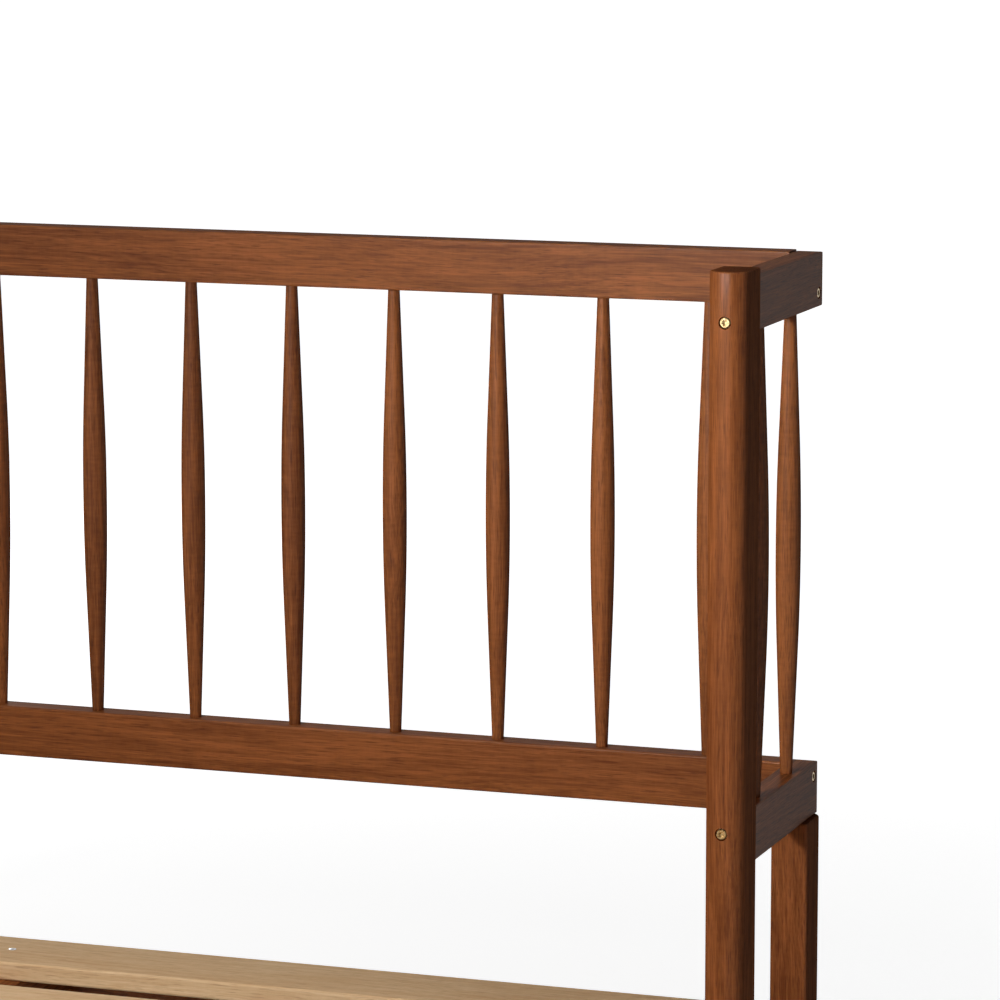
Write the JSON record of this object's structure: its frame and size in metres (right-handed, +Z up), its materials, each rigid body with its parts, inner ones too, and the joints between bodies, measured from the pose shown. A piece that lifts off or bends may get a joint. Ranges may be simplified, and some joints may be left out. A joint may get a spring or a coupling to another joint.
{
  "type": "platform bed",
  "caption": "Wooden platform bed with a wrap-around spindle headboard, short side wings, rounded posts, low side boards and a slatted deck on a centre beam.",
  "frame": {"origin": "on the floor, under the middle of the bed's overall box", "axes": "+Z up, +Y towards the head end, +X to the right of someone who looks from the foot to the head"},
  "size_m": [1.616, 2.1094, 1.006],
  "materials": {
    "stained_wood": "walnut stain, satin lacquer",
    "slat_wood": "bare planed pine",
    "dowel_wood": "bare beech",
    "brass": "plated, worn satin",
    "steel": "zinc plated",
    "pad_plastic": "moulded, fine texture"
  },
  "bodies": {
    "bed_frame": {"head_post_left": "stained_wood", "head_post_right": "stained_wood", "rear_leg_left": "stained_wood", "rear_leg_right": "stained_wood", "headboard_top_rail": "stained_wood", "headboard_mid_rail": "stained_wood", "headboard_base_rail": "stained_wood", "wing_top_rail_left": "stained_wood", "wing_top_rail_right": "stained_wood", "wing_mid_rail_left": "stained_wood", "wing_mid_rail_right": "stained_wood", "wing_base_rail_left": "stained_wood", "wing_base_rail_right": "stained_wood", "rear_spindle_01": "stained_wood", "rear_spindle_02": "stained_wood", "rear_spindle_03": "stained_wood", "rear_spindle_04": "stained_wood", "rear_spindle_05": "stained_wood", "rear_spindle_06": "stained_wood", "rear_spindle_07": "stained_wood", "rear_spindle_08": "stained_wood", "rear_spindle_09": "stained_wood", "rear_spindle_10": "stained_wood", "rear_spindle_11": "stained_wood", "rear_spindle_12": "stained_wood", "rear_spindle_13": "stained_wood", "rear_spindle_14": "stained_wood", "wing_spindle_left_rear": "stained_wood", "wing_spindle_left_front": "stained_wood", "wing_spindle_right_rear": "stained_wood", "wing_spindle_right_front": "stained_wood", "side_board_left": "stained_wood", "side_board_right": "stained_wood", "foot_board": "stained_wood", "foot_leg_left": "stained_wood", "foot_leg_right": "stained_wood", "slat_ledger_left": "stained_wood", "slat_ledger_right": "stained_wood", "slat_01": "slat_wood", "slat_02": "slat_wood", "slat_03": "slat_wood", "slat_04": "slat_wood", "slat_05": "slat_wood", "slat_06": "slat_wood", "slat_07": "slat_wood", "slat_08": "slat_wood", "slat_09": "slat_wood", "slat_10": "slat_wood", "slat_11": "slat_wood", "slat_12": "slat_wood", "centre_beam": "stained_wood", "centre_leg_head": "stained_wood", "centre_leg_foot": "stained_wood", "connector_bolts": "brass", "barrel_nuts": "brass", "dowels": "dowel_wood"},
    "leveller_head": {"leveller_pad_head": "pad_plastic", "leveller_stud_head": "steel"},
    "leveller_foot": {"leveller_pad_foot": "pad_plastic", "leveller_stud_foot": "steel"}
  },
  "joints": [
    {"name": "leveller_head_slide", "type": "slide", "parent": "bed_frame", "child": "leveller_head", "axis": [0, 0, -1], "range_m": [0, 0.012]},
    {"name": "leveller_foot_slide", "type": "slide", "parent": "bed_frame", "child": "leveller_foot", "axis": [0, 0, -1], "range_m": [0, 0.012]}
  ]
}
